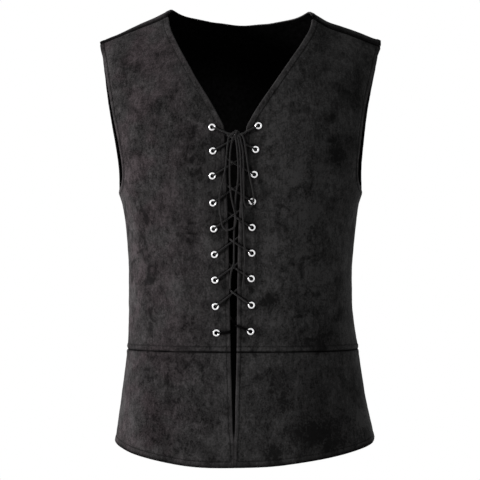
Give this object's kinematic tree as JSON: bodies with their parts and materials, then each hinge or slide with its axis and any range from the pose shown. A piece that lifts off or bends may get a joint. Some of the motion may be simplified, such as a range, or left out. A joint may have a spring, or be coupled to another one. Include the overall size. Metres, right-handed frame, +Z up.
{
  "type": "lace-up vest",
  "caption": "Sleeveless suede vest in its worn, hollow shape: V neck, laced front with metal eyelets and a bow, and a short flared skirt below a waist seam.",
  "frame": {"origin": "midway between the shoulders, level with the inner face of the shoulder straps where the wearer holds the vest up", "axes": "+X to the wearer's left, +Y to the wearer's back, +Z up"},
  "size_m": [0.4142, 0.2597, 0.6642],
  "materials": {
    "suede": "matt black faux suede with a mottled brushed nap",
    "lace": "soft round black cord",
    "eyelet": "bright nickel-plated brass"
  },
  "bodies": {
    "root": {"bodice_front_right": "suede", "bodice_front_left": "suede", "bodice_back": "suede", "skirt_front_right": "suede", "skirt_front_left": "suede", "skirt_back": "suede", "eyelet_right_1": "eyelet", "eyelet_right_2": "eyelet", "eyelet_right_3": "eyelet", "eyelet_right_4": "eyelet", "eyelet_right_5": "eyelet", "eyelet_right_6": "eyelet", "eyelet_right_7": "eyelet", "eyelet_right_8": "eyelet", "eyelet_right_9": "eyelet", "eyelet_left_1": "eyelet", "eyelet_left_2": "eyelet", "eyelet_left_3": "eyelet", "eyelet_left_4": "eyelet", "eyelet_left_5": "eyelet", "eyelet_left_6": "eyelet", "eyelet_left_7": "eyelet", "eyelet_left_8": "eyelet", "eyelet_left_9": "eyelet", "lace_from_right": "lace", "lace_from_left": "lace", "lace_knot": "lace", "lace_loop_right": "lace", "lace_loop_left": "lace", "lace_end_right": "lace", "lace_end_left": "lace"}
  },
  "joints": []
}
